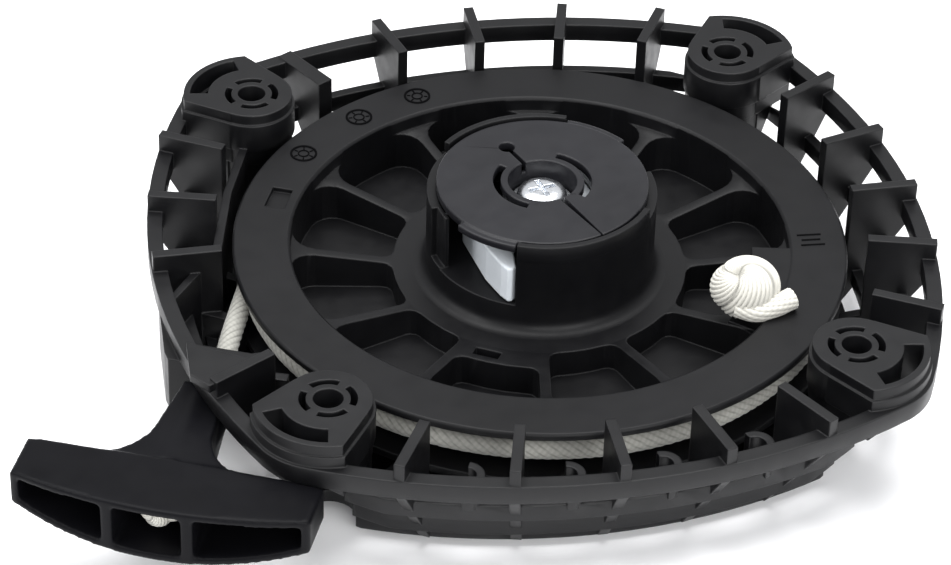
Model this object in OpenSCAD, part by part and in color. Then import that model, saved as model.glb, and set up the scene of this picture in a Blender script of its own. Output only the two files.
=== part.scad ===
// Recoil starter for a small engine, lying with its mounting side up.
// Origin: the reel axis at the plane of the four mounting boss faces.
// +Z points up, towards the engine. The pull handle leaves at the front left.

/* [Mounting] */
// Side of the square of mounting holes
hole_spacing = 96.9; // [80:0.1:120]
// Diameter of a mounting hole
hole_d = 5.5; // [4:0.1:6.6]
// Radius of a boss pad around its hole
pad_r = 8; // [6.8:0.1:10]
// Radius of a housing corner around its hole
corner_r = 14.56; // [12:0.01:18]

/* [Housing] */
// Radius of the four bowed sides in plan
side_arc_r = 125; // [105:1:150]
// Height of the rim band
band_h = 3.8; // [3:0.1:5]
// Width of the rim band in plan
band_w = 2.9; // [2:0.1:4]
// Depth of the band's top face below the boss faces
band_drop = 4.4; // [3:0.1:6]
// Depth of the fin tops below the boss faces
fin_drop = 0.9; // [0.5:0.1:2]
// Thickness of a radial fin
fin_t = 2; // [1.5:0.1:2.5]
// Length of a fin's top, inwards from the band's outer face
fin_len = 13.2; // [10:0.1:14]
// Angle between two fins
fin_pitch = 15; // [15]
// Depth of the closed face below the boss faces
housing_depth = 30; // [28:0.5:36]
// Thickness of the closed face
floor_t = 2; // [1.5:0.1:3]
// How far the closed face stands in from the band's outer face
floor_inset = 13.9; // [12:0.1:16]

/* [Reel] */
// Gap between the reel's flange and the boss pads
reel_gap = 2; // [1.5:0.1:4]
// Depth of the top flange below the boss faces
flange_drop = 6; // [5:0.1:7]
// Thickness of the top flange
flange_t = 1.4; // [1.2:0.1:2]
// Width of the flat ring between windows and flange edge
ring_w = 10.9; // [9:0.1:12]
// Thickness of the drum wall that the rope winds on
drum_wall = 2; // [1.5:0.1:2.5]
// Thickness of a spoke
spoke_t = 2; // [1.6:0.1:2.6]
// Number of spokes
spoke_count = 12; // [8:1:14]
// Radius of the hub's outer wall
hub_r = 21.75; // [20:0.05:24]
// Thickness of the hub's outer wall
hub_wall = 1.85; // [1.5:0.05:2.2]
// Height of the hub's raised lips above the boss faces
lip_top = 8; // [7:0.1:9]

/* [Rope] */
// Diameter of the rope
rope_d = 4; // [3.5:0.1:4.2]
// Rope windings side by side on the drum
rope_lanes = 2; // [2]
// Rope windings on top of each other
rope_layers = 2; // [1:1:2]

/* [Centre] */
// Radius of the post that the reel turns on
post_r = 8; // [7:0.1:9]
// Radius of the post's upper step
post_step_r = 5; // [4.5:0.1:5.5]
// Running clearance on the post
run_gap = 0.05; // [0.02:0.01:0.1]
// Gap between the retainer plate's rim and the hub's lips
cap_gap = 0.75; // [0.5:0.05:1.5]
// Height of the retainer plate's face above the boss faces
cap_top = 7.74; // [7.4:0.01:8]
// Thickness of the retainer plate
cap_t = 1.8; // [1.6:0.1:2]
// Diameter of the screw head
screw_head_d = 9.5; // [8.5:0.1:10]
// Height of the screw head
screw_head_h = 3; // [2.6:0.1:3.4]

/* [Handle] */
// Length of the handle's cross bar
bar_len = 54.6; // [46:0.2:68]
// Height of the cross bar
bar_h = 11.6; // [9:0.1:13]
// Depth of the cross bar at its ends, along the pull
bar_depth = 10; // [9:0.1:12]
// Radius of the cross bar's bowed front
bar_bow_r = 86; // [70:1:110]
// Distance from the rope exit to the cross bar
neck_len = 26.8; // [22:0.1:34]
// Direction of the pull, anticlockwise from +X
pull_angle = 246; // [244:1:250]

/* [Hidden] */

black_plastic = [0.09, 0.09, 0.1];
cap_plastic = [0.13, 0.13, 0.14];
nylon = [0.93, 0.94, 0.92];
rope_white = [0.88, 0.86, 0.8];
zinc = [0.78, 0.8, 0.82];
spring_steel = [0.42, 0.44, 0.48];
brass = [0.76, 0.6, 0.32];

fine = 128;      // segments of a large circle
mid = 64;        // segments of a middle-sized circle

// Plan of the housing: four bowed sides that run into a round corner at each hole
hole_at = hole_spacing / 2;
bow_off = sqrt(pow(side_arc_r - corner_r, 2) - pow(hole_at, 2)) - hole_at;
corner_turn = asin(hole_at / (side_arc_r - corner_r));
half_width = side_arc_r - bow_off;
corner_ease = 0.02;   // lets each corner round cross its sides instead of just touching them

// Heights
band_top = -band_drop;
band_low = band_top - band_h;
fin_top = -fin_drop;
base_z = -housing_depth;
floor_top = base_z + floor_t;
floor_r = half_width - floor_inset - 3.1;
rail_h = 3.4;
rail_t = 2;
rail_high_top = band_low - 4.8;
rail_high_inset = 5;
rail_low_top = rail_high_top - 7.2;
rail_low_inset = 9.6;
base_rim_h = 2.6;

// Reel
reel_r = hole_at * sqrt(2) - pad_r - reel_gap;
flange_top = -flange_drop;
flange_low = flange_top - flange_t;
window_r = reel_r - ring_w;
drum_r = window_r + drum_wall;
groove_h = rope_lanes * rope_d + 1.6;
low_flange_top = flange_low - groove_h;
low_flange_t = 1.5;
reel_low = low_flange_top - low_flange_t;
web_out_z = flange_top - 3;
web_in_z = flange_top - 5.5;
web_in_r = hub_r + 6.3;
wide_web = floor(0.6 * spoke_count);
knot_web = floor(0.85 * spoke_count);
knot_turn = -34;
knot_lean = 2.3;
knot_pad_w = 7.2;
knot_r = 6.6;
knot_in = 5.7;
spoke_turn = 20;
hub_top = cap_top - cap_t - 0.35;
hub_in_r = hub_r - hub_wall;
lip_t = 1;
cap_r = hub_r - lip_t - cap_gap;
pawl_floor = flange_top + 0.2;
pawl_floor_t = 2;
bore_r = post_r + run_gap;
sleeve_r = post_r + 3;

// Spring chamber between the reel and the closed face
case_r = drum_r - 9.6;
case_t = 0.8;
cover_t = 0.6;
cover_gap = 0.6;
cover_top = reel_low - cover_gap;
spring_r0 = sleeve_r + 0.3;
spring_turns = 10;
spring_pitch = (case_r - case_t - 1 - spring_r0) / spring_turns;
spring_t = 0.6;

// Centre stack, from the post up
post_top = 2.1;
post_step_z = pawl_floor - 0.4;
washer_t = 1;
washer_r = 6.1;
cap_hole_r = 6.5;
collar_r = 7.4;
collar_low = post_top - 1.5;
collar_floor = post_top - 0.4;
insert_r = 3.4;
insert_len = 12;
screw_r = 2.45;
screw_len = 12;

// Pawls
pawl_pivot_r = 11.5;
pawl_pivot_turn = 176;
pawl_heel_r = 3.4;
pawl_pin_r = 1.6;
pawl_low = pawl_floor + 0.15;
pawl_top = hub_top - 3.6;
pawl_nose_r = hub_r - 0.3;
pawl_nose_turn = 242;

// Hub openings and lips, as angles at the front; the rear ones are half a turn on
open_from = 187;
open_through = 198;
open_to = 246;
pocket_low = flange_top + 0.5;
lip_front = [246, 325];
lip_rear = [66, 137];
tab_front = [211, 245];
tab_rear = [31, 65];

// Rope exit and pull
pull_dir = [cos(pull_angle), sin(pull_angle)];
bar_dir = [-sin(pull_angle), cos(pull_angle)];
rope_z = low_flange_top + groove_h / 2 + 0.2;
rope_drop = 1.7;      // how much lower the rope leaves than it comes off the reel
lead_r = drum_r + 0.4;
lead_turn = pull_angle - 90;
lead_start = [lead_r * cos(lead_turn), lead_r * sin(lead_turn)];
exit_turn = 201.6;
exit_inset = 4.86;
handle_z = rope_z - rope_drop;
eyelet_r = 4.4;
eyelet_len = 4;
neck_r = 6;
winding_out_r = drum_r + rope_layers * (rope_d - 0.3);
lead_free = sqrt(pow(winding_out_r + rope_d / 2 + 0.4, 2) - pow(lead_r, 2));
lead_from = [lead_start[0] + lead_free * pull_dir[0], lead_start[1] + lead_free * pull_dir[1], rope_z];

// Distance from the axis to the plan outline, inset by t, in direction a
function side_reach(a, t) =
  let(s = a - 90 * round(a / 90))
  -bow_off * cos(s) + sqrt(pow(side_arc_r - t, 2) - pow(bow_off * sin(s), 2));

// The rope runs straight from the reel to the exit, which stands inside the plan outline
exit_run = sqrt(pow(side_reach(exit_turn, exit_inset), 2) - pow(lead_r, 2));
exit_at = lead_start + exit_run * pull_dir;
lead_to = [exit_at[0], exit_at[1], handle_z];

// Points of an arc
function arc(r, a0, a1, n, c = [0, 0]) =
  [for (i = [0:n]) let(a = a0 + (a1 - a0) * i / n) c + r * [cos(a), sin(a)]];

// Plan outline of the housing, inset by t
module plan(t) {
  r = side_arc_r - t;
  reach = r * sin(corner_turn);
  intersection() {
    translate([0, -bow_off]) circle(r = r, $fn = fine);
    translate([0, bow_off]) circle(r = r, $fn = fine);
    translate([-bow_off, 0]) circle(r = r, $fn = fine);
    translate([bow_off, 0]) circle(r = r, $fn = fine);
    union() {
      square([2 * reach, 4 * half_width], center = true);
      square([4 * half_width, 2 * reach], center = true);
      for (sx = [-1, 1], sy = [-1, 1])
        translate([sx * hole_at, sy * hole_at]) circle(r = corner_r - t + corner_ease, $fn = mid);
    }
  }
}

// Prism of the plan between two heights, between two insets
module rail(z0, z1, inset, width, reach) {
  translate([0, 0, z0]) linear_extrude(z1 - z0) difference() {
    intersection() {
      plan(inset);
      circle(r = reach, $fn = fine);
    }
    plan(inset + width);
  }
}

// A slot that follows an arc about the origin, with square ends
module arc_slot(r0, r1, a0, a1, h) {
  rotate([0, 0, a0]) rotate_extrude(angle = a1 - a0, $fn = mid) translate([r0, 0]) square([r1 - r0, h]);
}

// A vertical plate that stands on a ray from the axis, from an outline of [radius, height] points
module ray_plate(a, t, outline) {
  rotate([0, 0, a]) translate([0, t / 2, 0]) rotate([90, 0, 0]) linear_extrude(t) polygon(outline);
}

// One radial fin: its outer edge follows the band, then leans in to the closed face
module fin(a, t = fin_t, top = fin_top) {
  ro = side_reach(a, 0.23);
  ri = side_reach(a, fin_len);
  foot = side_reach(a, floor_inset);
  ray_plate(a, t, [[ri, top], [ro, top], [ro, band_low + 0.6], [foot, floor_top - 0.5],
                   [foot - 3.5, floor_top - 0.5], [foot - 3.5, rail_low_top + 0.2], [ri, rail_low_top + 1.5]]);
}

// A small hooked rib below the band, midway between two fins
module hook_rib(a) {
  rotate([0, 0, a]) translate([side_reach(a, band_w + 4.7), 0, band_low - 5.5]) difference() {
    cylinder(r = 3.4, h = 5.8, $fn = mid);
    translate([0, 0, -1]) cylinder(r = 1.9, h = 8, $fn = mid);
    translate([-5, -10, -1]) cube([12, 10, 8]);
  }
}

// Top of a boss: a round pad that widens out to the corner
module pad_plan(grow) {
  circle(r = pad_r + grow, $fn = mid);
  intersection() {
    circle(r = corner_r - 1.1 + grow, $fn = mid);
    rotate(45) polygon([[-1, pad_r + grow], [18, pad_r + 3.5 + grow], [18, -pad_r - 3.5 - grow], [-1, -pad_r - grow]]);
  }
}

// Boss at one corner: pad, body that leans in below the band, and a deep inner wall
module boss(a) {
  hole_reach = hole_at * sqrt(2);
  out = hole_reach + corner_r;
  seat = band_low - 3.5;
  rotate([0, 0, a - 45]) intersection() {
    translate([hole_at, hole_at, 0]) difference() {
      union() {
        translate([0, 0, -2.2]) linear_extrude(2.2) pad_plan(0);
        translate([0, 0, band_low]) linear_extrude(-2.2 - band_low) pad_plan(0.5);
        translate([0, 0, seat]) linear_extrude(band_low - seat) pad_plan(0);
        // Deep wall on the side towards the reel
        translate([0, 0, floor_top - 1]) rotate([0, 0, 135]) rotate_extrude(angle = 180, $fn = mid)
          translate([pad_r - 2.2, 0]) square([2, seat - floor_top + 1.6]);
      }
      translate([0, 0, -8]) arc_slot_ring();
      translate([0, 0, seat + 1.5]) rotate([0, 0, 45 - 36]) arc_slot(8.6, 12.2, 0, 72, -seat);
      translate([0, 0, seat - 1]) cylinder(d = hole_d, h = -seat + 2, $fn = mid);
    }
    ray_plate(45, 2 * corner_r + 4, [[hole_reach - 20, 1], [out + 1, 1], [out + 1, band_low], [out - 2.5, band_low - 0.1],
                                     [side_reach(0, floor_inset) + 1, floor_top - 1], [hole_reach - 20, floor_top - 1]]);
  }
}

// Four arc slots around the hole, with their webs on the diagonals
module arc_slot_ring() {
  for (k = [0:3]) rotate([0, 0, 90 * k]) rotate([0, 0, -33]) arc_slot(4, 5.3, 0, 66, 9);
}

// Leaning walls on both sides of a boss, down to the closed face
module corner_wall(a) {
  hole_reach = hole_at * sqrt(2);
  out = hole_reach + corner_r;
  foot = side_reach(0, floor_inset) + 2;
  rotate([0, 0, a]) for (s = [-1, 1]) translate([0, s * (pad_r - 1), 0])
    ray_plate(0, 2, [[hole_reach, band_low + 1], [out - 4, band_low + 1], [out - 4, band_low + 0.5],
                     [foot, floor_top - 0.5], [foot - 7, floor_top - 0.5], [foot - 7, rail_low_top + 0.2],
                     [hole_reach, rail_low_top + 0.2]]);
}

// Wall on the left that keeps the rope clear of the fins, and the ribs that tie it to the band
module rope_guard() {
  from = floor_top - 1;
  translate([-half_width, 0, from]) linear_extrude(-7.5 - from) polygon([[23.7, 45.5], [17, 26.3], [11.4, 4],
    [13.2, 4], [18.6, 26.3], [25, 44]]);
  translate([-half_width, 0, from]) linear_extrude(-5.5 - from) polygon([[11.4, 2], [2.6, -9.5], [1.6, -8.6], [11, 4.2]]);
  translate([-half_width, 0, from]) linear_extrude(-15 - from) polygon([[4.2, 4.5], [14.2, -2], [13.4, -4], [3.2, 2.5]]);
  translate([19.7 - half_width, -29.8, from]) rotate([0, 0, -20]) translate([-2.6, -1, 0]) cube([4.2, 2, -9 - from]);
}

// Tower that the rope leaves through, low towards the reel, and the flat gusset beside its fin
module exit_tower() {
  translate([exit_at[0], exit_at[1], handle_z]) rotate([0, 0, pull_angle]) translate([0, 0, -5.7]) difference() {
    linear_extrude(5.4 + band_low - handle_z + 0.6)
      polygon([[0, -8.3], [-2, -9.6], [-16.5, -15.2], [-17, -7], [-14, 8], [0, 8]]);
    translate([0, 0, 1.6]) linear_extrude(20)
      polygon([[-eyelet_len - 1.5, -6.4], [-14.8, -12], [-40, -12], [-40, 9], [-7, 9], [-eyelet_len - 1.5, 6]]);
  }
  rotate([0, 0, 14 * fin_pitch]) translate([side_reach(14 * fin_pitch, 0), 0, fin_top - 2.2]) linear_extrude(1.6)
    polygon([[-3.7, -12.5], [-9.5, -1.7], [-10.4, 0.7], [0.8, 0.2], [1.5, -4.6]]);
}

// Clear way for the rope and the handle's neck, and the eyelet's seat
module rope_way() {
  at_exit() {
    translate([0, -neck_r - 0.8, -neck_r + 0.4]) cube([20, 2 * neck_r + 1.6, 2 * neck_r - 0.8]);
    translate([-eyelet_len, 0, 0]) rotate([0, 90, 0]) cylinder(r = eyelet_r, h = 20, $fn = mid);
  }
  bar(lead_from - 8 * [pull_dir[0], pull_dir[1], 0], lead_to, rope_d / 2 + 1);
}

module starter_housing() {
  color(black_plastic) difference() {
    union() {
      rail(band_low, band_top, 0, band_w, 2 * half_width);
      rail(rail_high_top - rail_h, rail_high_top, rail_high_inset, rail_t, half_width);
      rail(rail_low_top - rail_h, rail_low_top, rail_low_inset, rail_t, half_width - 4.5);
      translate([0, 0, base_z]) cylinder(r = floor_r, h = floor_t, $fn = fine);
      translate([0, 0, floor_top - 0.4]) linear_extrude(base_rim_h) difference() {
        intersection() {
          plan(floor_inset);
          circle(r = half_width - 7, $fn = fine);
        }
        circle(r = floor_r - 9, $fn = fine);
      }
      for (a = [0:fin_pitch:345]) if (a % 90 != 45 && a != 195 && a != 120) fin(a);
      fin(120, 3.2, band_top + 0.3);
      for (a = [fin_pitch * 16.5:fin_pitch:300]) hook_rib(a);
      for (a = [45:90:315]) {
        boss(a);
        corner_wall(a);
      }
      rope_guard();
      exit_tower();
      // Post that the reel turns on
      translate([0, 0, base_z]) cylinder(r = post_r, h = post_step_z - base_z, $fn = mid);
      translate([0, 0, base_z]) cylinder(r = post_step_r, h = post_top - base_z, $fn = mid);
    }
    // Seat of the threaded insert
    translate([0, 0, post_top - insert_len]) cylinder(r = insert_r, h = insert_len + 1, $fn = mid);
    translate([0, 0, post_top - insert_len - 3]) cylinder(r = screw_r + 0.3, h = 4, $fn = mid);
    rope_way();
    // Way to each boss for its screw and driver
    for (a = [45:90:315]) rotate([0, 0, a - 45]) translate([hole_at, hole_at, base_z - 1])
      cylinder(r = hole_d / 2 + 2.5, h = band_low - 3.5 - base_z + 1, $fn = mid);
    // Cooling holes in the closed face
    for (a = [0:30:330]) translate([0, 0, base_z - 1]) arc_slot_at(a);
    // Space for the reel
    translate([0, 0, reel_low - 0.6]) difference() {
      cylinder(r = reel_r + 1.2, h = 40, $fn = fine);
      translate([0, 0, -1]) cylinder(r = post_r + 20, h = 60, $fn = mid);
    }
  }
}

// One cooling slot of the closed face
module arc_slot_at(a) {
  rotate([0, 0, a - 10]) arc_slot(case_r + 4, case_r + 10, 0, 20, floor_t + 2);
}

// Brass insert that takes the centre screw's thread
module post_insert() {
  color(brass) translate([0, 0, post_top - insert_len]) difference() {
    union() {
      cylinder(r = insert_r - 0.5, h = insert_len - 0.1, $fn = mid);
      for (z = [0.1, 4.2, 8.3]) translate([0, 0, z]) cylinder(r = insert_r, h = 3, $fn = mid);
    }
    translate([0, 0, -1]) cylinder(r = screw_r + 0.05, h = insert_len + 2, $fn = mid);
  }
}

// Smooth ring that the rope runs over
module rope_eyelet() {
  color(zinc) translate([exit_at[0], exit_at[1], handle_z]) rotate([0, 0, pull_angle]) rotate([0, 90, 0])
    translate([0, 0, -eyelet_len]) rotate_extrude($fn = mid)
      polygon(concat([[eyelet_r, 0], [eyelet_r, eyelet_len]],
                     [for (i = [0:8]) let(a = 90 + 22.5 * i, m = rope_d / 2 + 1.4)
                        [m + 1 * cos(a), eyelet_len / 2 + eyelet_len / 2 * sin(a)]]));
}

// Flat cup that holds the recoil spring
module spring_case() {
  color(spring_steel) translate([0, 0, floor_top]) difference() {
    cylinder(r = case_r, h = cover_top - cover_t - floor_top, $fn = fine);
    translate([0, 0, case_t]) cylinder(r = case_r - case_t, h = 20, $fn = fine);
    translate([0, 0, -1]) cylinder(r = post_r + 0.3, h = 4, $fn = mid);
  }
}

// Disc that keeps the spring in its case when the reel is lifted off
module spring_cover() {
  color(spring_steel) translate([0, 0, cover_top - cover_t]) difference() {
    cylinder(r = case_r + 0.2, h = cover_t, $fn = fine);
    translate([0, 0, -1]) cylinder(r = spring_r0 + 1.5, h = 3, $fn = mid);
    for (a = [0:60:300]) rotate([0, 0, a]) translate([28, 0, -1]) cylinder(r = 4, h = 3, $fn = mid);
  }
}

// Flat spiral spring: its outer end holds the case, its inner end the reel's sleeve
module recoil_spring() {
  steps = 30;
  n = spring_turns * steps;
  function at(i, s) =
    let(a = 360 * i / steps, r = spring_r0 + 0.2 + spring_pitch * i / steps + s) r * [cos(a), sin(a)];
  color(spring_steel) translate([0, 0, floor_top + case_t + 0.4])
    linear_extrude(cover_top - cover_t - floor_top - case_t - 0.8)
      polygon(concat([for (i = [0:n]) at(i, 0)], [for (i = [n:-1:0]) at(i, spring_t)]));
}

// Plan of one window between two spokes, with round corners
module window_plan(a, ri, ro) {
  half = spoke_t / 2;
  step = 360 / spoke_count;
  big = 4.5;
  small = 2.2;
  // Each corner: centre of its round, radius, and where the round starts and ends
  function corner_c(r, k, inner, side) =
    let(rc = inner ? r + k : r - k, off = half + k) [sqrt(rc * rc - off * off), side * off];
  function turn(p, t) = [p[0] * cos(t) - p[1] * sin(t), p[0] * sin(t) + p[1] * cos(t)];
  lo = corner_c(ro, big, false, 1);
  li = corner_c(ri, small, true, 1);
  hi_o = turn(corner_c(ro, big, false, -1), step);
  hi_i = turn(corner_c(ri, small, true, -1), step);
  lo_a = atan2(lo[1], lo[0]);
  hi_a = atan2(hi_o[1], hi_o[0]);
  li_a = atan2(li[1], li[0]);
  hi_ia = atan2(hi_i[1], hi_i[0]);
  rotate(a) polygon(concat(
    arc(big, -90, lo_a, 5, lo),
    arc(ro, lo_a + 1, hi_a - 1, 5),
    arc(big, hi_a, step + 90, 5, hi_o),
    arc(small, step + 90, hi_ia + 180, 3, hi_i),
    arc(ri, hi_ia - 0.5, li_a + 0.5, 3),
    arc(small, li_a + 180, 270, 3, li)));
}

// Reel: two flanges, drum, spokes, hub with pawl openings, and the sleeve on the post
module rope_reel() {
  color(black_plastic) difference() {
    union() {
      rotate_extrude($fn = fine) polygon([
        [sleeve_r - 1, reel_low], [reel_r - 0.6, reel_low], [reel_r - 0.6, low_flange_top],
        [drum_r, low_flange_top], [drum_r, flange_low], [reel_r, flange_low], [reel_r, flange_top - 0.4],
        [reel_r - 0.4, flange_top], [window_r + 0.5, flange_top], [window_r - 0.1, flange_top - 0.5],
        [window_r - 0.1, web_out_z], [web_in_r, web_in_z], [hub_r - 1, web_in_z], [hub_r - 1, low_flange_top],
        [sleeve_r - 1, low_flange_top]]);
      // Hub wall with the round at its foot
      rotate_extrude($fn = fine) polygon(concat(
        [[hub_in_r, low_flange_top], [hub_r + 1, low_flange_top], [hub_r + 1, web_in_z - 0.5]],
        arc(2.4, 270, 180, 6, [hub_r + 2.4, web_in_z + 2.4]),
        [[hub_r, hub_top], [hub_in_r, hub_top]]));
      // Lips that stand around the retainer plate
      for (span = [lip_front, lip_rear]) translate([0, 0, hub_top - 1])
        arc_slot(hub_r - lip_t, hub_r + 0.1, span[0], span[1], lip_top - hub_top + 1);
      // Pad level with the flange beyond the shorter window, beside the rope's knot
      translate([0, 0, web_in_z]) arc_slot(window_r - knot_pad_w, window_r + 0.5, knot_turn - 7, knot_turn + 22,
        flange_top - 0.4 - web_in_z);
      // Floor that the pawls lie on, and its bearing sleeve
      translate([0, 0, pawl_floor - pawl_floor_t]) cylinder(r = hub_in_r + 0.5, h = pawl_floor_t, $fn = mid);
      translate([0, 0, floor_top + case_t + 1]) cylinder(r = sleeve_r, h = pawl_floor - floor_top - case_t - 1, $fn = mid);
      // Pins that the pawls turn on
      for (k = [0, 180]) rotate([0, 0, pawl_pivot_turn + k]) translate([pawl_pivot_r, 0, pawl_floor - 1])
        cylinder(r = pawl_pin_r, h = hub_top - pawl_floor + 0.8, $fn = mid);
    }
    translate([0, 0, base_z]) cylinder(r = bore_r, h = 60, $fn = mid);
    for (k = [0:spoke_count - 1]) translate([0, 0, low_flange_top])
      linear_extrude(20) window_plan(spoke_turn + k * 360 / spoke_count,
        k == wide_web ? web_in_r + 5.4 : web_in_r, k == knot_web ? window_r - knot_pad_w : window_r);
    // Pocket that the knot lies in
    rotate([0, 0, knot_turn - knot_lean]) translate([window_r - knot_in, 0, web_out_z - 0.15])
      cylinder(r = knot_r + 0.3, h = 10, $fn = mid);
    // Openings that the pawls swing out through, and the shallow pockets around them
    for (k = [0, 180]) rotate([0, 0, k]) {
      translate([0, 0, pocket_low]) arc_slot(hub_r - 1.1, hub_r + 3, open_from, open_to, 30);
      translate([0, 0, pawl_floor]) arc_slot(hub_in_r - 1, hub_r + 3, open_through, open_to, 30);
    }
    // Hole that the rope end comes up through, and two moulding slots
    rotate([0, 0, knot_turn]) translate([drum_r - 4.5, 0, low_flange_top]) cylinder(r = rope_d / 2 + 0.5, h = 20, $fn = mid);
    rotate([0, 0, 156]) translate([drum_r, -3.2, flange_top - 1]) cube([4, 6.4, 5]);
    rotate([0, 0, 240]) translate([web_in_r + 1.3, -2.5, web_in_z - 1.6]) cube([2.4, 5, 3]);
    // Passage from the drum to the knot
    rotate([0, 0, knot_turn]) translate([drum_r - 4.5, 0, flange_low - 3.6]) rotate([0, 90, 0])
      cylinder(r = rope_d / 2 + 0.3, h = 12, $fn = mid);
  }
}

// Pawl: a thick plate with a round heel and a blunt nose; its angle is where its pivot stands
module pawl(turn) {
  pivot = pawl_pivot_r * [cos(turn), sin(turn)];
  nose = pawl_nose_r * [cos(turn + pawl_nose_turn - pawl_pivot_turn), sin(turn + pawl_nose_turn - pawl_pivot_turn)];
  lead = nose - pivot;
  long = norm(lead);
  aim = atan2(lead[1], lead[0]);
  color(nylon) translate([pivot[0], pivot[1], pawl_low]) rotate([0, 0, aim]) difference() {
    linear_extrude(pawl_top - pawl_low) union() {
      circle(r = pawl_heel_r, $fn = mid);
      polygon([[0, -pawl_heel_r], [0.62 * long, -2.3], [long - 2, -0.9], [long - 0.2, -0.1], [long, 0.8],
               [long - 0.6, 1.6], [0.7 * long, 2.6], [0, pawl_heel_r]]);
    }
    translate([0, 0, -1]) cylinder(r = pawl_pin_r + run_gap, h = 30, $fn = mid);
  }
}

module pawl_front() {
  pawl(pawl_pivot_turn);
}

module pawl_rear() {
  pawl(pawl_pivot_turn + 180);
}

// Wire loop on top of a pawl's pin that draws the pawl in
module pawl_spring(turn) {
  pivot = pawl_pivot_r * [cos(turn), sin(turn)];
  wire = 0.4;
  ring_r = pawl_pin_r + 0.02;
  color(spring_steel) translate([pivot[0], pivot[1], pawl_top + 0.35]) rotate([0, 0, turn]) union() {
    rotate_extrude($fn = mid) translate([ring_r, 0]) square([wire, wire]);
    translate([0, ring_r, 0]) cube([hub_in_r - pawl_pivot_r - 0.3, wire, wire]);
  }
}

module pawl_spring_front() {
  pawl_spring(pawl_pivot_turn);
}

module pawl_spring_rear() {
  pawl_spring(pawl_pivot_turn + 180);
}

// Retainer plate: disc with spring slots, two tabs and the collar that the brake spring holds
module retainer_plate() {
  color(cap_plastic) difference() {
    union() {
      translate([0, 0, cap_top - cap_t]) cylinder(r = cap_r, h = cap_t, $fn = fine);
      for (span = [tab_front, tab_rear]) translate([0, 0, cap_top - cap_t])
        arc_slot(cap_r - 1, hub_r - 0.45, span[0], span[1], cap_t - 0.3);
      translate([0, 0, collar_low]) cylinder(r = collar_r, h = cap_top - cap_t - collar_low + 0.5, $fn = mid);
    }
    translate([0, 0, collar_floor]) cylinder(r = cap_hole_r, h = 20, $fn = mid);
    translate([0, 0, collar_low - 1]) cylinder(r = post_step_r + 0.35, h = 20, $fn = mid);
    for (span = [[-43, 60], [138, 240]]) translate([0, 0, cap_top - cap_t - 1])
      arc_slot(7.9, 9.3, span[0], span[1], 6);
    // Keyhole slot
    rotate([0, 0, 111]) translate([0, 0, cap_top - cap_t - 0.5]) {
      translate([cap_hole_r - 0.5, -0.45, 0]) cube([6, 0.9, 5]);
      translate([12.6, 0, 0]) cylinder(r = 1.5, h = 5, $fn = 48);
    }
    // Slit out to the rim
    rotate([0, 0, -68]) translate([0, 0, cap_top - cap_t - 0.5]) linear_extrude(5)
      polygon([[cap_hole_r - 0.5, -0.55], [cap_r + 1, -0.12], [cap_r + 1, 0.12], [cap_hole_r - 0.5, 0.55]]);
  }
}

// Coil under the retainer plate's collar: its friction holds the plate back as the reel starts to turn
module brake_spring() {
  wire = 0.45;
  coil_r = 6.6;
  turns = 3;
  steps = 24;
  sides = 6;
  low = pawl_floor + wire + 0.3;
  rise = collar_low - wire - 0.05 - low;
  n = turns * steps;
  ring = [for (i = [0:n]) let(a = 360 * i / steps)
    for (j = [0:sides - 1]) let(b = 360 * j / sides, r = coil_r + wire * cos(b))
      [r * cos(a), r * sin(a), low + rise * i / n + wire * sin(b)]];
  faces = concat(
    [[for (j = [0:sides - 1]) j]],
    [for (i = [0:n - 1], j = [0:sides - 1]) let(k = (j + 1) % sides)
      [i * sides + j, (i + 1) * sides + j, (i + 1) * sides + k, i * sides + k]],
    [[for (j = [sides - 1:-1:0]) n * sides + j]]);
  color(spring_steel) polyhedron(points = ring, faces = faces, convexity = 10);
}

// Washer between the screw head and the post, over the retainer plate's collar
module thrust_washer() {
  color(zinc) translate([0, 0, post_top]) difference() {
    cylinder(r = washer_r, h = washer_t, $fn = mid);
    translate([0, 0, -1]) cylinder(r = screw_r + 0.2, h = 4, $fn = mid);
  }
}

// Pan head screw with a cross recess
module centre_screw() {
  color(zinc) translate([0, 0, post_top + washer_t]) difference() {
    union() {
      rotate_extrude($fn = mid) polygon(concat(
        [[0, 0], [screw_head_d / 2, 0], [screw_head_d / 2, screw_head_h * 0.45]],
        [for (i = [1:6]) let(a = 15 * i)
          [screw_head_d / 2 * (0.35 + 0.65 * cos(a)) * (i == 6 ? 0 : 1), screw_head_h * (0.45 + 0.55 * sin(a))]]));
      translate([0, 0, -screw_len - washer_t + 1]) cylinder(r = screw_r, h = screw_len + washer_t - 1, $fn = mid);
    }
    for (k = [0, 90]) rotate([0, 0, k + 12]) translate([-2.6, -0.5, screw_head_h - 1.5]) cube([5.2, 1, 3]);
  }
}

// Rope on the drum: the outer shape of its windings
module rope_winding() {
  low = low_flange_top + 0.3;
  high = low + rope_lanes * rope_d + 0.6;
  color(rope_white) rotate_extrude($fn = fine) polygon([
    [drum_r + 0.05, low], [winding_out_r - 1, low], [winding_out_r, low + 1], [winding_out_r, high - 1],
    [winding_out_r - 1, high], [drum_r + 0.05, high]]);
}

// A straight round bar between two points
module bar(p, q, r) {
  d = q - p;
  translate(p) rotate([0, acos(d[2] / norm(d)), atan2(d[1], d[0])]) cylinder(r = r, h = norm(d), $fn = 32);
}

// Rope from the reel to the exit
module rope_lead() {
  color(rope_white) bar(lead_from, lead_to, rope_d / 2);
}

// Knot on the reel, in the corner of a window over the rope's hole, as a plain bun
module reel_knot() {
  color(rope_white) rotate([0, 0, knot_turn - knot_lean]) translate([window_r - knot_in, 0, web_out_z - 0.1])
    rotate_extrude($fn = mid)
      polygon([[0, 0], [4.8, 0], [knot_r - 0.2, 2.4], [knot_r, 7.5], [5.4, 10.4], [3, 12], [0, 12.4]]);
}

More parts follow.
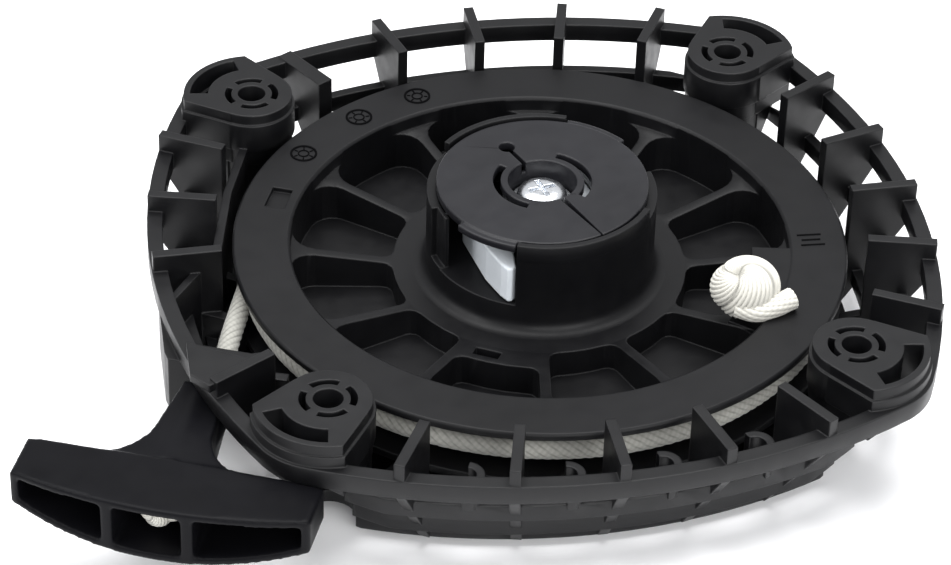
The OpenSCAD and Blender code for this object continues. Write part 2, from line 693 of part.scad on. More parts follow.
// Places its children at the rope exit: +X is the pull, +Z is up
module at_exit() {
  translate([exit_at[0], exit_at[1], handle_z]) rotate([0, 0, pull_angle]) children();
}

// Cross bar inset by t, with its bowed front inset by front_t; the top is flatter than the bottom
module bar_solid(t, front_t) {
  side = 1.2;
  bow = bar_bow_r - sqrt(pow(bar_bow_r, 2) - pow(bar_len / 2, 2));
  drop = bar_h * 0.34;
  low_r = (pow(bar_len / 2, 2) + pow(drop, 2)) / (2 * drop);
  high_r = 7 * low_r;
  translate([0, side, 0]) intersection() {
    translate([neck_len + bar_depth + bow - bar_bow_r, 0, -bar_h])
      cylinder(r = bar_bow_r - front_t, h = 2 * bar_h, $fn = fine);
    translate([neck_len + t, t - bar_len / 2, -bar_h]) cube([40, bar_len - 2 * t, 2 * bar_h]);
    translate([0, 0, low_r - bar_h / 2]) rotate([0, 90, 0]) cylinder(r = low_r - t, h = 80, $fn = fine);
    translate([0, 0, bar_h / 2 - high_r]) rotate([0, 90, 0]) cylinder(r = high_r - t, h = 80, $fn = fine);
  }
}

// Handle: hollow cross bar with three pockets, and a neck that the rope runs through
module pull_handle() {
  wall = 1.5;
  divider = 2.2;
  pocket = 12.5;
  flare = 12;
  color(black_plastic) at_exit() difference() {
    union() {
      difference() {
        bar_solid(0, 0);
        difference() {
          bar_solid(wall, -2);
          for (s = [-1, 1]) translate([0, s * (pocket + divider) / 2 - divider / 2, -20]) cube([80, divider, 40]);
        }
      }
      translate([0.3, 0, 0]) rotate([0, 90, 0]) rotate_extrude($fn = mid) polygon([
        [0, 0], [neck_r - 1.6, 0], [neck_r - 0.8, 4], [neck_r - 0.8, neck_len + 1], [0, neck_len + 1]]);
      translate([0, 0, 0.4 - neck_r * 0.75]) linear_extrude(neck_r * 1.5) polygon(concat(
        [[4, -neck_r + 2], [4, neck_r - 2]], [for (i = [0:8]) let(a = 10 * i)
          [neck_len + 1 - flare * (1 - sin(a)), neck_r - 0.8 + flare * (1 - cos(a))]],
        [for (i = [8:-1:0]) let(a = 10 * i)
          [neck_len + 1 - flare * (1 - sin(a)), -(neck_r - 0.8 + flare * (1 - cos(a)))]]));
    }
    translate([-1, 0, 0]) rotate([0, 90, 0]) cylinder(r = rope_d / 2 + 0.2, h = neck_len + 8, $fn = mid);
  }
}

// Rope inside the handle's neck
module handle_rope() {
  color(rope_white) at_exit() translate([0.4, 0, 0]) rotate([0, 90, 0])
    cylinder(r = rope_d / 2, h = neck_len + 2.4, $fn = 32);
}

// Knot inside the handle's middle pocket, as a plain bun
module handle_knot() {
  color(rope_white) at_exit() translate([neck_len + 2.8, 0, 0]) rotate([0, 90, 0]) rotate_extrude($fn = mid)
    polygon([[0, 0], [2.5, 0], [3.35, 1.8], [3.35, 5.6], [2.3, 7.8], [0, 8.2]]);
}

starter_housing();
post_insert();
rope_eyelet();
spring_case();
spring_cover();
recoil_spring();
rope_reel();
reel_knot();
rope_winding();
rope_lead();
pawl_front();
pawl_rear();
pawl_spring_front();
pawl_spring_rear();
retainer_plate();
brake_spring();
thrust_washer();
centre_screw();
pull_handle();
handle_rope();
handle_knot();
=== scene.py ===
import math

import bmesh
import bpy
import numpy as np
from mathutils import Matrix, Vector


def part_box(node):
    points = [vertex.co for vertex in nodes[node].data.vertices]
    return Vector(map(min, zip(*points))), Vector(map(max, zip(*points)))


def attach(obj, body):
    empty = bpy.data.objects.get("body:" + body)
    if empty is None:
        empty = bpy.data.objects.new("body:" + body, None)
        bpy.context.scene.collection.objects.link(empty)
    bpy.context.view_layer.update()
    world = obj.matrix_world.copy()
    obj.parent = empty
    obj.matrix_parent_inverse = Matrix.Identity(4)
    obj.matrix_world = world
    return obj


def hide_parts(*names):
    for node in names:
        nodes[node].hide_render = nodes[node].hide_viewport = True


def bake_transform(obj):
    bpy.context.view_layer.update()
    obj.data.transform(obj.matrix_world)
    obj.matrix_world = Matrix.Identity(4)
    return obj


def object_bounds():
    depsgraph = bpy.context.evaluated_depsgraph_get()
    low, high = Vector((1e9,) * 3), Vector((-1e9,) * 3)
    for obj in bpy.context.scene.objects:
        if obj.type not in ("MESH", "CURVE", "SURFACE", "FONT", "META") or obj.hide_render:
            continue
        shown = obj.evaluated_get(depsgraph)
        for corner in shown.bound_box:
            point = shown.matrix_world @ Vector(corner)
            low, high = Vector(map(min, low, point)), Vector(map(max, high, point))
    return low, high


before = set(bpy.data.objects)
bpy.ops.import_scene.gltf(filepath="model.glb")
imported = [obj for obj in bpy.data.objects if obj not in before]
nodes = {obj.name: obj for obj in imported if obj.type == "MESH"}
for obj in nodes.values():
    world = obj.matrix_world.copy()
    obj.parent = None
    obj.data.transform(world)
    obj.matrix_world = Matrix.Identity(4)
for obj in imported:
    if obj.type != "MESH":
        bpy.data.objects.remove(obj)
cad_bounds = [list(p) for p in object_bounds()]
MM = 0.001


# ---------------------------------------------------------------- camera
yaw = math.radians(-11.83)
pitch = math.radians(37.17)
roll = math.radians(1.656)
ahead = Vector((-math.sin(yaw) * math.cos(pitch), math.cos(yaw) * math.cos(pitch), -math.sin(pitch)))
right = Vector((math.cos(yaw), math.sin(yaw), 0))
up = right.cross(ahead)
cam_x = math.cos(roll) * right + math.sin(roll) * up
cam_y = -math.sin(roll) * right + math.cos(roll) * up
cam_data = bpy.data.cameras.new("camera")
cam_data.sensor_width = 36
cam_data.lens = 137.77
cam_data.clip_start = 0.01
cam = bpy.data.objects.new("camera", cam_data)
turn = Matrix((cam_x, cam_y, -ahead)).transposed().to_4x4()
cam.matrix_world = Matrix.Translation((-0.12607, -0.54316, 0.40584)) @ turn
bpy.context.scene.collection.objects.link(cam)
bpy.context.scene.camera = cam


# ---------------------------------------------------------------- materials
def new_material(name):
    m = bpy.data.materials.new(name)
    m.use_nodes = True
    tree = m.node_tree
    tree.nodes.clear()
    out = tree.nodes.new("ShaderNodeOutputMaterial")
    bsdf = tree.nodes.new("ShaderNodeBsdfPrincipled")
    tree.links.new(bsdf.outputs[0], out.inputs[0])
    return m, tree, bsdf


def noise(tree, coord, scale, detail=3.0, rough=0.55):
    n = tree.nodes.new("ShaderNodeTexNoise")
    n.inputs["Scale"].default_value = scale
    n.inputs["Detail"].default_value = detail
    n.inputs["Roughness"].default_value = rough
    tree.links.new(coord, n.inputs["Vector"])
    return n.outputs["Fac"]


def span(tree, value, lo, hi, to_lo, to_hi):
    n = tree.nodes.new("ShaderNodeMapRange")
    for i, x in enumerate((lo, hi, to_lo, to_hi)):
        n.inputs[i + 1].default_value = x
    tree.links.new(value, n.inputs[0])
    return n.outputs[0]


def mix(tree, fac, a, b):
    n = tree.nodes.new("ShaderNodeMix")
    n.data_type = "RGBA"
    for sock, x in ((n.inputs[6], a), (n.inputs[7], b)):
        if isinstance(x, tuple):
            sock.default_value = x
        else:
            tree.links.new(x, sock)
    tree.links.new(fac, n.inputs[0])
    return n.outputs[2]


def bump(tree, height, strength, distance, normal=None):
    n = tree.nodes.new("ShaderNodeBump")
    n.inputs["Strength"].default_value = strength
    n.inputs["Distance"].default_value = distance
    tree.links.new(height, n.inputs["Height"])
    if normal is not None:
        tree.links.new(normal, n.inputs["Normal"])
    return n.outputs[0]


def edge_mask(tree, radius):
    """The rounded normal, and how far it leans away from the flat one: 1 on an edge."""
    bev = tree.nodes.new("ShaderNodeBevel")
    bev.samples = 6
    bev.inputs["Radius"].default_value = radius
    geo = tree.nodes.new("ShaderNodeNewGeometry")
    dot = tree.nodes.new("ShaderNodeVectorMath")
    dot.operation = "DOT_PRODUCT"
    tree.links.new(bev.outputs[0], dot.inputs[0])
    tree.links.new(geo.outputs["Normal"], dot.inputs[1])
    return bev.outputs[0], span(tree, dot.outputs["Value"], 0.995, 0.8, 0.0, 1.0)


def moulded(name, base, rough, edge=0.45, grain=0.5, spec=0.5, seed=0.0):
    """Moulded plastic: slight flow marks in the colour, a fine grain, and paler edges that are partly wear
    and partly a painted highlight.
    """
    m, tree, bsdf = new_material(name)
    tc = tree.nodes.new("ShaderNodeTexCoord")
    shift = tree.nodes.new("ShaderNodeMapping")
    shift.inputs["Location"].default_value = (seed, seed * 0.7, seed * 1.3)
    tree.links.new(tc.outputs["Object"], shift.inputs["Vector"])
    at = shift.outputs[0]
    normal, wear_and_highlight_edge = edge_mask(tree, 0.45 * MM)
    flow = noise(tree, at, 45, 4, 0.6)
    cloud = noise(tree, at, 240, 3, 0.5)
    fine = noise(tree, at, 5200, 2, 0.6)
    dark = tuple(c * 0.82 for c in base) + (1,)
    pale = tuple(c * 1.2 for c in base) + (1,)
    col = mix(tree, span(tree, flow, 0.35, 0.68, 0.0, 1.0), dark, pale)
    # Paler edges, part edge wear and part painted highlight: every edge's colour is lifted towards a pale
    # grey, patchy along its length.
    wear_and_highlight_amount = tree.nodes.new("ShaderNodeMath")
    wear_and_highlight_amount.operation = "MULTIPLY"
    tree.links.new(wear_and_highlight_edge, wear_and_highlight_amount.inputs[0])
    tree.links.new(span(tree, cloud, 0.38, 0.62, 0.25 * edge, edge), wear_and_highlight_amount.inputs[1])
    wear_and_highlight_col = tuple(min(1.0, c * 2.6 + 0.02) for c in base) + (1,)
    tree.links.new(mix(tree, wear_and_highlight_amount.outputs[0], col, wear_and_highlight_col), bsdf.inputs["Base Color"])
    tree.links.new(span(tree, cloud, 0.3, 0.7, rough - 0.05, rough + 0.07), bsdf.inputs["Roughness"])
    bsdf.inputs["Specular IOR Level"].default_value = spec
    rise = bump(tree, fine, grain * 0.25, 0.03 * MM, normal)
    tree.links.new(bump(tree, flow, 0.12, 0.6 * MM, rise), bsdf.inputs["Normal"])
    return m


def metal(name, base, rough, stretch=(1, 1, 1), scale=900):
    m, tree, bsdf = new_material(name)
    tc = tree.nodes.new("ShaderNodeTexCoord")
    mp = tree.nodes.new("ShaderNodeMapping")
    mp.inputs["Scale"].default_value = stretch
    tree.links.new(tc.outputs["Object"], mp.inputs["Vector"])
    normal, _ = edge_mask(tree, 0.25 * MM)
    lines = noise(tree, mp.outputs[0], scale, 4, 0.6)
    cloud = noise(tree, tc.outputs["Object"], 180, 3, 0.5)
    low = tuple(c * 0.86 for c in base) + (1,)
    high = tuple(min(1.0, c * 1.08) for c in base) + (1,)
    col = mix(tree, span(tree, cloud, 0.3, 0.7, 0.0, 1.0), low, high)
    tree.links.new(col, bsdf.inputs["Base Color"])
    bsdf.inputs["Metallic"].default_value = 1.0
    tree.links.new(span(tree, lines, 0.3, 0.7, rough - 0.06, rough + 0.08), bsdf.inputs["Roughness"])
    tree.links.new(bump(tree, lines, 0.15, 0.02 * MM, normal), bsdf.inputs["Normal"])
    return m


def nylon(name, base):
    m, tree, bsdf = new_material(name)
    tc = tree.nodes.new("ShaderNodeTexCoord")
    normal, _ = edge_mask(tree, 0.4 * MM)
    cloud = noise(tree, tc.outputs["Object"], 160, 3, 0.5)
    fine = noise(tree, tc.outputs["Object"], 3800, 2, 0.6)
    low = tuple(c * 0.9 for c in base) + (1,)
    col = mix(tree, span(tree, cloud, 0.3, 0.7, 0.0, 1.0), low, base + (1,))
    tree.links.new(col, bsdf.inputs["Base Color"])
    tree.links.new(span(tree, cloud, 0.3, 0.7, 0.34, 0.44), bsdf.inputs["Roughness"])
    bsdf.inputs["Subsurface Weight"].default_value = 0.15
    bsdf.inputs["Subsurface Radius"].default_value = (1.2 * MM, 1.2 * MM, 1.1 * MM)
    tree.links.new(bump(tree, fine, 0.12, 0.03 * MM, normal), bsdf.inputs["Normal"])
    return m


def cord_material(name, base, dirt):
    """Twisted cord: yarn lines across the strands and painted shade in the grooves between them.

    The UV map's u runs along the cord in millimetres, and v runs around it.
    """
    m, tree, bsdf = new_material(name)
    uv = tree.nodes.new("ShaderNodeUVMap")
    uv.uv_map = "along"
    tc = tree.nodes.new("ShaderNodeTexCoord")
    mp = tree.nodes.new("ShaderNodeMapping")
    mp.inputs["Scale"].default_value = (1.0, 9.0, 1.0)
    tree.links.new(uv.outputs[0], mp.inputs["Vector"])
    yarn = tree.nodes.new("ShaderNodeTexWave")
    yarn.wave_type = "BANDS"
    yarn.bands_direction = "DIAGONAL"
    yarn.inputs["Scale"].default_value = 0.55
    yarn.inputs["Distortion"].default_value = 0.8
    yarn.inputs["Detail"].default_value = 2
    yarn.inputs["Detail Scale"].default_value = 2.5
    tree.links.new(mp.outputs[0], yarn.inputs["Vector"])
    fuzz = noise(tree, tc.outputs["Object"], 2600, 3, 0.6)
    grime = noise(tree, tc.outputs["Object"], 60, 4, 0.6)
    attr = tree.nodes.new("ShaderNodeAttribute")
    attr.attribute_name = "hollow"
    low = tuple(c * 0.3 for c in base) + (1,)
    col = mix(tree, span(tree, yarn.outputs["Fac"], 0.15, 0.85, 0.0, 0.16), base + (1,), low)
    # Painted shade: the colour is darkened towards low where the mesh's groove attribute is high, in the
    # grooves between strands and in a knot's eye.
    col = mix(tree, span(tree, attr.outputs["Fac"], 0.35, 1.0, 0.0, 0.8), col, low)
    col = mix(tree, span(tree, grime, 0.4, 0.75, 0.0, dirt), col, (0.16, 0.16, 0.15, 1))
    tree.links.new(col, bsdf.inputs["Base Color"])
    bsdf.inputs["Roughness"].default_value = 0.8
    bsdf.inputs["Sheen Weight"].default_value = 0.25
    bsdf.inputs["Sheen Roughness"].default_value = 0.5
    bsdf.inputs["Specular IOR Level"].default_value = 0.25
    rise = bump(tree, yarn.outputs["Fac"], 0.25, 0.1 * MM)
    tree.links.new(bump(tree, fuzz, 0.4, 0.08 * MM, rise), bsdf.inputs["Normal"])
    return m


# The edge argument sets how pale every edge is painted, as edge wear together with a painted highlight.
housing_mat = moulded("housing_plastic", (0.0032, 0.0032, 0.0038), 0.40, edge=0.4, spec=0.27, seed=0.3)
reel_mat = moulded("reel_plastic", (0.0034, 0.0034, 0.0040), 0.43, edge=0.4, spec=0.2, seed=1.1)
mark_mat = moulded("reel_marks", (0.0015, 0.0015, 0.0018), 0.6, edge=0.1, spec=0.02, seed=1.7)
plate_mat = moulded("plate_plastic", (0.0085, 0.0085, 0.0105), 0.36,
                    edge=0.22, spec=0.28, grain=0.3, seed=2.2)
handle_mat = moulded("handle_plastic", (0.0040, 0.0040, 0.0050), 0.36,
                     edge=0.2, grain=0.4, spec=0.07, seed=3.7)
pawl_mat = nylon("white_nylon", (0.70, 0.74, 0.78))
zinc_mat = metal("zinc_steel", (0.80, 0.82, 0.85), 0.24, (1, 1, 0.4))
case_mat = metal("case_steel", (0.62, 0.64, 0.66), 0.34, (1, 1, 0.3), 500)
spring_mat = metal("spring_steel", (0.30, 0.32, 0.36), 0.32, (1, 1, 0.2), 700)
brass_mat = metal("insert_brass", (0.72, 0.54, 0.26), 0.3, (1, 1, 3))
wound_mat = cord_material("wound_cord", (0.40, 0.395, 0.36), 0.5)
knot_mat = cord_material("knot_cord", (0.66, 0.645, 0.585), 0.06)

CAD_LOOKS = {
    "starter_housing": housing_mat, "rope_reel": reel_mat, "retainer_plate": plate_mat,
    "pawl_front": pawl_mat, "pawl_rear": pawl_mat, "post_insert": brass_mat, "rope_eyelet": zinc_mat,
    "spring_case": case_mat, "spring_cover": case_mat, "recoil_spring": spring_mat,
    "pawl_spring_front": spring_mat, "pawl_spring_rear": spring_mat, "brake_spring": spring_mat,
    "thrust_washer": zinc_mat, "centre_screw": zinc_mat,
}
BEVELS = {"starter_housing": 0.3, "rope_reel": 0.3, "retainer_plate": 0.25, "centre_screw": 0.2,
          "thrust_washer": 0.12, "pawl_front": 0.35, "pawl_rear": 0.35}
for name, mat in CAD_LOOKS.items():
    obj = nodes[name]
    for s in obj.material_slots:
        s.material = mat
    weld = obj.modifiers.new("weld", "WELD")
    weld.merge_threshold = 0.002 * MM
    if name in BEVELS:
        bevel = obj.modifiers.new("bevel", "BEVEL")
        bevel.width = BEVELS[name] * MM
        bevel.segments = 2
        bevel.limit_method = "ANGLE"
        bevel.angle_limit = math.radians(38)
        bevel.use_clamp_overlap = True
        bevel.harden_normals = False


# ---------------------------------------------------------------- mesh helpers
def link(obj):
    bpy.context.scene.collection.objects.link(obj)
    return obj


def mesh_object(name, verts, faces, mat):
    me = bpy.data.meshes.new(name)
    me.from_pydata([tuple(v) for v in verts], [], faces)
    me.materials.append(mat)
    me.polygons.foreach_set("use_smooth", [True] * len(me.polygons))
    me.update()
    return link(bpy.data.objects.new(name, me))


def resample(points, step):
    p = np.asarray(points, float)
    d = np.r_[0, np.cumsum(np.linalg.norm(np.diff(p, axis=0), axis=1))]
    n = max(int(round(d[-1] / step)), 2)
    s = np.linspace(0, d[-1], n + 1)
    return np.stack([np.interp(s, d, p[:, k]) for k in range(3)], 1), s


def spline(points, per):
    """A smooth curve through the points (uniform Catmull-Rom), with `per` steps between two of them."""
    p = np.asarray(points, float)
    p = np.vstack([2 * p[0] - p[1], p, 2 * p[-1] - p[-2]])
    out = []
    for i in range(1, len(p) - 2):
        a, b, c, d = p[i - 1], p[i], p[i + 1], p[i + 2]
        for k in range(per):
            t = k / per
            out.append(0.5 * (2 * b + (c - a) * t + (2 * a - 5 * b + 4 * c - d) * t * t
                              + (3 * b - a - 3 * c + d) * t ** 3))
    out.append(p[-2])
    return np.array(out)


def rope(name, points, radius, mat, step, around, strands, pitch, depth, yarns):
    """A laid rope along the points, in millimetres. Its strands are lobes of the mesh; the grooves between
    them carry painted shade.
    """
    p, s = resample(points, step)
    tan = np.gradient(p, axis=0)
    tan /= np.linalg.norm(tan, axis=1)[:, None]
    side = np.cross(tan[0], (0.0, 0.0, 1.0))
    if np.linalg.norm(side) < 1e-3:
        side = np.cross(tan[0], (1.0, 0.0, 0.0))
    side /= np.linalg.norm(side)
    verts, hollow = [], []
    ang = np.arange(around) * 2 * math.pi / around
    for i in range(len(p)):
        side = side - tan[i] * np.dot(side, tan[i])
        side /= np.linalg.norm(side)
        other = np.cross(tan[i], side)
        phase = 2 * math.pi * s[i] / pitch
        lobe = np.abs(np.cos(strands / 2 * (ang - phase)))
        yarn = np.cos(9 * (ang - phase) + 2 * math.pi * s[i] / 1.9)
        rad = radius * (1 - depth + depth * lobe ** 0.7 + yarns * yarn)
        ring = p[i] + rad[:, None] * (np.cos(ang)[:, None] * side + np.sin(ang)[:, None] * other)
        verts.append(ring)
        # painted shade amount: 1 in the grooves between strands, 0 on the strand crowns
        hollow.append(1 - lobe)
    n = len(p)
    verts = np.vstack(verts)
    faces = []
    for i in range(n - 1):
        here, there = i * around, (i + 1) * around
        faces += [(here + j, here + (j + 1) % around, there + (j + 1) % around, there + j)
                  for j in range(around)]
    verts = np.vstack([verts, p[0] - tan[0] * 0.5, p[-1] + tan[-1] * 0.5])
    a, b = len(verts) - 2, len(verts) - 1
    faces += [(a, (j + 1) % around, j) for j in range(around)]
    last = (n - 1) * around
    faces += [(b, last + j, last + (j + 1) % around) for j in range(around)]
    hollow.append(np.zeros(2))
    hollow = np.concatenate(hollow)
    obj = mesh_object(name, verts * MM, faces, mat)
    me = obj.data
    att = me.attributes.new("hollow", "FLOAT", "POINT")
    att.data.foreach_set("value", hollow.astype(np.float32))
    uv = me.uv_layers.new(name="along")
    along = np.zeros((len(me.loops), 2), np.float32)
    for poly in me.polygons:
        ids = [me.loops[k].vertex_index for k in poly.loop_indices]
        js = [v % around for v in ids]
        wrap = max(js) - min(js) > around / 2
        for k, v in zip(poly.loop_indices, ids):
            j = v % around
            if wrap and j < around / 2:
                j += around
            along[k] = (s[min(v // around, n - 1)], j / around)
    uv.data.foreach_set("uv", along.ravel())
    return obj


def polar(r, deg, z):
    return (r * math.cos(math.radians(deg)), r * math.sin(math.radians(deg)), z)


# ---------------------------------------------------------------- rope
ROPE_R = 2.0
PULL = math.radians(246)
pull = np.array((math.cos(PULL), math.sin(PULL), 0.0))
eye_lo, eye_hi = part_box("rope_eyelet")
eye_mid = (np.array(eye_lo) + np.array(eye_hi)) / 2 / MM
exit_at = eye_mid + 2.0 * pull
# Three turns in the reel's groove: a low lane, a high lane, and one that lies outside both.
LANE_LOW, LANE_HIGH, LANE_OUT = -14.4, -10.1, -12.0
LANE_R = 51.6
OUT_RISE = 3.45
EXIT_DIP = 1.9
DRUM_SIDE_R = 45.5
JOIN = 16
STEP = 4
START = -28
CLIMB = START + 340
SPREAD = CLIMB + 360
LEAVE = 159.5 + 3 * 360

wind = [(37.6, -25.4, -9.5), (38.6, -26.0, -11.0), (41.5, -28.2, -12.6)]
for k in range(0, 341, STEP):
    r = LANE_R if k > JOIN else DRUM_SIDE_R + (LANE_R - DRUM_SIDE_R) * k / JOIN
    wind.append(polar(r, START + k, LANE_LOW))
for k in range(0, 361, STEP):
    t = min(1.0, k / 40)
    wind.append(polar(LANE_R, CLIMB + k, LANE_LOW + (LANE_HIGH - LANE_LOW) * t * t * (3 - 2 * t)))
for a in np.arange(SPREAD + STEP, LEAVE + 0.01, STEP):
    t = min(1.0, (a - SPREAD) / 36)
    rise = t * t * (3 - 2 * t)
    fall = max(0.0, 1 - (LEAVE - a) / 60)
    r = LANE_R + OUT_RISE * rise - EXIT_DIP * fall * fall
    wind.append(polar(r, a, LANE_HIGH + (LANE_OUT - LANE_HIGH) * rise))
tangent_at = np.array(wind[-1])
LAY = dict(around=32, strands=8, pitch=15.0, depth=0.11, yarns=0.004)
wound = rope("wound_rope", wind, ROPE_R, wound_mat, step=0.6, **LAY)
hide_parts("rope_winding")
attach(wound, "reel")

lead = [tangent_at + (exit_at - tangent_at) * t for t in (0, 0.33, 0.66)]
lead += [exit_at + along * pull for along in (-6, 0, 8, 20, 33.5)]
run = rope("rope_run", spline(lead, 12), ROPE_R, wound_mat, step=0.5, **LAY)
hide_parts("rope_lead", "handle_rope")
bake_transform(run)


def wrapped_knot(name, centre, axis, toward, radius, tall, cords, tail, tail_r):
    """A pulled-tight knot: a ball of cord whose strands swirl over it into a sunken eye, and its loose end;
    the grooves and the eye carry painted shade.
    """
    z = np.array(axis, float)
    x = np.array(toward, float)
    x -= z * x.dot(z)
    x /= np.linalg.norm(x)
    y = np.cross(z, x)
    c = np.array(centre, float)
    rows, cols = 120, 240
    th = (np.arange(rows) + 0.5) / rows * math.pi
    ph = np.arange(cols) / cols * 2 * math.pi
    T, P = np.meshgrid(th, ph, indexing="ij")
    # the eye of the knot is at the top end of the axis, and every strand swirls round it
    swirl = P + 1.5 * T ** 0.75
    wrap = np.abs(np.cos(1.5 * (P + 0.9 * T) + 0.4))
    cord = np.abs(np.cos(cords * swirl / 2))
    yarn = np.abs(np.cos(cords * 3 * swirl / 2 + 1.5 * T))
    eye = np.exp(-(T / 0.26) ** 2)
    under = np.exp(-((math.pi - T) / 0.5) ** 2)
    waist = 0.05 * np.cos(2 * P + 0.6) * np.sin(T)
    fine = 0.075 * (cord ** 0.6 - 1) + 0.016 * (yarn ** 0.7 - 1)
    R = 1 + waist + (fine + 0.11 * (wrap ** 0.45 - 1)) * np.sin(T) ** 0.5 - 0.3 * eye - 0.1 * under
    sx = radius * R * np.sin(T) * np.cos(P)
    sy = radius * R * np.sin(T) * np.sin(P)
    sz = tall * R * np.cos(T)
    V = c + sx[..., None] * x + sy[..., None] * y + sz[..., None] * z
    verts = np.vstack([V.reshape(-1, 3), [c + z * tall * 0.5, c - z * tall * 0.88]])
    faces = []
    for i in range(rows - 1):
        here, there = i * cols, (i + 1) * cols
        faces += [(here + j, there + j, there + (j + 1) % cols, here + (j + 1) % cols) for j in range(cols)]
    top, low = rows * cols, rows * cols + 1
    faces += [(top, j, (j + 1) % cols) for j in range(cols)]
    faces += [(low, (rows - 1) * cols + (j + 1) % cols, (rows - 1) * cols + j) for j in range(cols)]
    ball = mesh_object(name, verts * MM, faces, knot_mat)
    me = ball.data
    # Painted shade: the grooves between cords and wraps, and the knot's sunken eye, get a darkening amount
    # for the colour.
    groove_shade = np.maximum((1 - cord) * 0.8, (1 - wrap) ** 3)
    hollow = np.concatenate([groove_shade.ravel() + eye.ravel() * 0.5, [0.6, 0.3]])
    me.attributes.new("hollow", "FLOAT", "POINT").data.foreach_set("value", hollow.astype(np.float32))
    u = np.concatenate([(radius * T).ravel(), [0, radius * math.pi]])
    v = np.concatenate([(cords * swirl / (2 * math.pi)).ravel(), [0, 0]])
    uv = me.uv_layers.new(name="along")
    ids = np.zeros(len(me.loops), np.int64)
    me.loops.foreach_get("vertex_index", ids)
    uv.data.foreach_set("uv", np.stack([u[ids], v[ids]], 1).astype(np.float32).ravel())
    path = spline([c + np.array(q, float) for q in tail], 14)
    end = rope(name + "_end", path, tail_r, knot_mat, step=0.3, around=40,
               strands=12, pitch=40.0, depth=0.1, yarns=0.0)
    return ball, end


knot_lo, knot_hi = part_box("reel_knot")
knot_mid = (np.array(knot_lo) + np.array(knot_hi)) / 2 / MM
reel_tail = [(-2.4, -3.4, -1.6), (1.0, -5.0, -2.0), (4.6, -4.6, -1.6), (8.3, -3.3, -1.1)]
reel_knot, reel_end = wrapped_knot(
    "reel_knot_tied", knot_mid, axis=(-0.42, -0.2, 0.88), toward=(1, 0, 0),
    radius=6.4, tall=5.9, cords=26, tail=reel_tail, tail_r=2.1)
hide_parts("reel_knot")
for piece in (reel_knot, reel_end):
    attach(piece, "reel")

end_lo, end_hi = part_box("handle_knot")
end_mid = (np.array(end_lo) + np.array(end_hi)) / 2 / MM
handle_tail = [(0.6, -1.6, -0.4), (2.4, -2.2, -0.2), (3.9, -2.4, 0.3)]
handle_knot, handle_end = wrapped_knot(
    "handle_knot_tied", end_mid, axis=pull + np.array((0, 0, 0.5)), toward=(-pull[1], pull[0], 0),
    radius=3.3, tall=3.6, cords=20, tail=handle_tail, tail_r=1.3)
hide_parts("handle_knot")
for piece in (handle_knot, handle_end):
    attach(piece, "handle")


# ---------------------------------------------------------------- handle
def rounded_copy(node, name, mat, voxel, passes):
    """The node's own solid with every edge and inner corner rounded, as a moulding has them."""
    src = nodes[node]
    me = src.data.copy()
    tmp = link(bpy.data.objects.new(name + "_src", me))
    w = tmp.modifiers.new("weld", "WELD")
    w.merge_threshold = 0.002 * MM
    r = tmp.modifiers.new("remesh", "REMESH")
    r.mode = "VOXEL"
    r.voxel_size = voxel * MM
    s = tmp.modifiers.new("smooth", "SMOOTH")
    s.factor = 0.5
    s.iterations = passes
    deps = bpy.context.evaluated_depsgraph_get()
    out = bpy.data.meshes.new_from_object(tmp.evaluated_get(deps))
    bpy.data.objects.remove(tmp)
    out.name = name
    out.materials.clear()
    out.materials.append(mat)
    out.polygons.foreach_set("use_smooth", [True] * len(out.polygons))
    return link(bpy.data.objects.new(name, out))


grip = rounded_copy("pull_handle", "handle_grip", handle_mat, 0.4, 7)
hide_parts("pull_handle")
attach(grip, "handle")


# ---------------------------------------------------------------- moulding marks
def ring_mesh(bm, centre, r0, r1, z0, z1, n=40):
    prof = [(r0, z0), (r0, z1), (r1, z1), (r1, z0)]
    rows = []
    for i in range(n):
        a = 2 * math.pi * i / n
        out = (math.cos(a), math.sin(a))
        rows.append([bm.verts.new(((centre[0] + r * out[0]) * MM, (centre[1] + r * out[1]) * MM, z * MM))
                     for r, z in prof])
    for i in range(n):
        for k in range(4):
            a, b = rows[i], rows[(i + 1) % n]
            bm.faces.new((a[k], b[k], b[(k + 1) % 4], a[(k + 1) % 4]))


def bar_mesh(bm, centre, size, deg, z0, z1):
    c, s = math.cos(math.radians(deg)), math.sin(math.radians(deg))
    low, high = [], []
    for sx, sy in ((-1, -1), (1, -1), (1, 1), (-1, 1)):
        x, y = sx * size[0] / 2, sy * size[1] / 2
        px, py = centre[0] + x * c - y * s, centre[1] + x * s + y * c
        low.append(bm.verts.new((px * MM, py * MM, z0 * MM)))
        high.append(bm.verts.new((px * MM, py * MM, z1 * MM)))
    bm.faces.new(high)
    bm.faces.new(low[::-1])
    for k in range(4):
        bm.faces.new((low[k], low[(k + 1) % 4], high[(k + 1) % 4], high[k]))


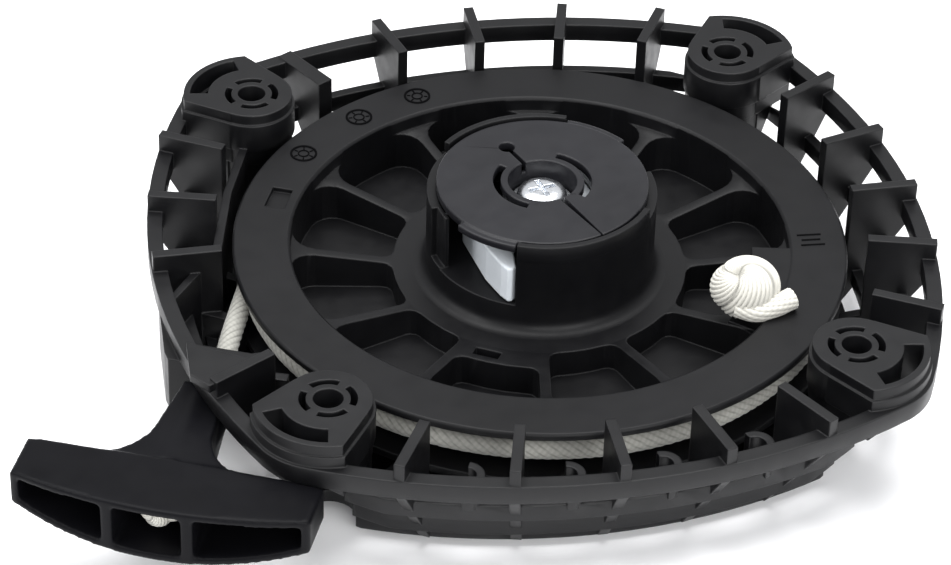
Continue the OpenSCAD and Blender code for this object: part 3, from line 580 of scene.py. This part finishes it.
flange_top = -6.0
mark_low, mark_high = flange_top - 0.2, flange_top + 0.12
bm = bmesh.new()
for deg in (139, 121, 106):
    at = polar(53.2, deg, 0)
    ring_mesh(bm, at, 2.25, 2.65, mark_low, flange_top + 0.16)
    ring_mesh(bm, at, 0.9, 1.15, mark_low, mark_high, 24)
    for k in range(6):
        spot = polar(1.7, 60 * k + deg, 0)
        middle = (at[0] + spot[0], at[1] + spot[1])
        bar_mesh(bm, middle, (0.7, 0.22), 60 * k + deg, mark_low, mark_high)
for off in (-1.6, 0.0, 1.6):
    bar_mesh(bm, (51.1, -8.4 + off), (4.6 if off else 3.6, 0.35), -4, mark_low, mark_high)
me = bpy.data.meshes.new("mould_marks")
bm.to_mesh(me)
bm.free()
me.materials.append(mark_mat)
marks = link(bpy.data.objects.new("mould_marks", me))
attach(marks, "reel")


# ---------------------------------------------------------------- floor and light
def soft_light(name, place, aim, size, energy):
    d = bpy.data.lights.new(name, "AREA")
    d.shape = "RECTANGLE"
    d.size, d.size_y = size
    d.energy = energy
    o = link(bpy.data.objects.new(name, d))
    facing = (Vector(aim) - Vector(place)).to_track_quat("-Z", "Y").to_matrix().to_4x4()
    o.matrix_world = Matrix.Translation(place) @ facing


floor_mat, _, floor_shader = new_material("pale_floor")
floor_shader.inputs["Base Color"].default_value = (0.94, 0.94, 0.95, 1)
floor_shader.inputs["Roughness"].default_value = 0.7
bpy.ops.mesh.primitive_plane_add(size=6, location=(0, 0, cad_bounds[0][2] - 0.0002))
floor = bpy.context.active_object
floor.name = "floor"
floor.data.materials.append(floor_mat)

world = bpy.data.worlds.new("studio")
bpy.context.scene.world = world
world.use_nodes = True
world.node_tree.nodes["Background"].inputs[0].default_value = (0.97, 0.98, 1.0, 1)
world.node_tree.nodes["Background"].inputs[1].default_value = 0.75
soft_light("top", (0.0, 0.12, 1.0), (0, 0, 0), (1.1, 0.9), 18)
soft_light("left", (-0.8, -0.1, 0.6), (0, 0, 0), (0.5, 0.5), 4)
soft_light("front", (0.2, -0.95, 0.55), (0, 0, 0), (0.9, 0.4), 8)
bpy.context.scene.view_settings.view_transform = "Standard"
